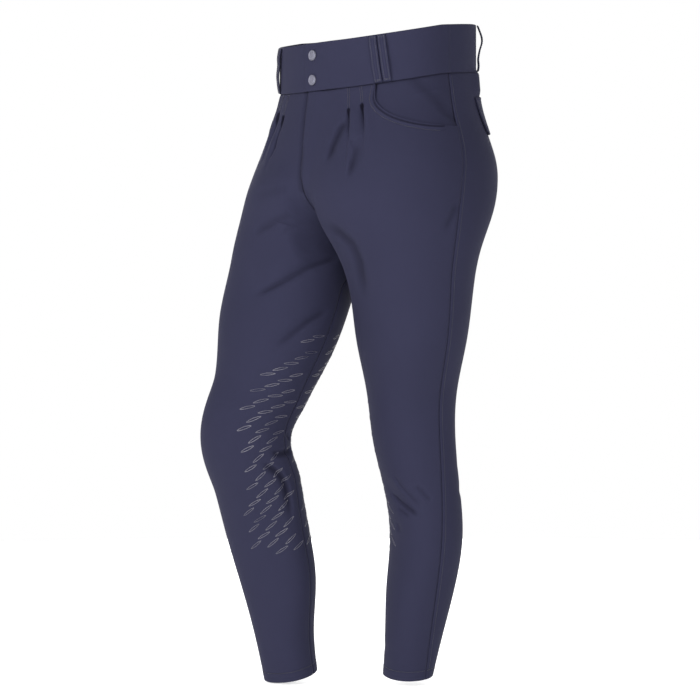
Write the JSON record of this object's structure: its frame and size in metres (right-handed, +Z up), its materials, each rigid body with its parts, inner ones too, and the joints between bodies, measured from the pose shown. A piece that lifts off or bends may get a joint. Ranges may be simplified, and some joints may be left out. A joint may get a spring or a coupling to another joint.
{
  "type": "riding breeches",
  "caption": "High-waisted pleated riding breeches in dark navy stretch cloth, worn shape with no wearer, right knee bent, snap waistband, belt loops, scooped pockets and knee grip.",
  "frame": {"origin": "middle of the waistband, on the wearer's midline, halfway up the band at the side seams", "axes": "+Z up, -Y out of the front, +X towards the wearer's left"},
  "size_m": [0.4008, 0.351, 0.961],
  "materials": {
    "cloth": "smooth matte stretch twill with a slight sheen, dark navy",
    "grip_print": "thin glossy clear-grey silicone print",
    "snap": "brushed silvery metal"
  },
  "bodies": {
    "root": {"front_left": "cloth", "front_right": "cloth", "back_left": "cloth", "back_right": "cloth", "fly_lap": "cloth", "pocket_facing_left": "cloth", "pocket_facing_right": "cloth", "back_flap_left": "cloth", "back_flap_right": "cloth", "waistband_left": "cloth", "waistband_right": "cloth", "loop_front_left_1": "cloth", "loop_front_left_2": "cloth", "loop_front_right_1": "cloth", "loop_front_right_2": "cloth", "loop_back_left_1": "cloth", "loop_back_left_2": "cloth", "loop_back_right_1": "cloth", "loop_back_right_2": "cloth", "snap_top": "snap", "snap_bottom": "snap"}
  },
  "joints": []
}
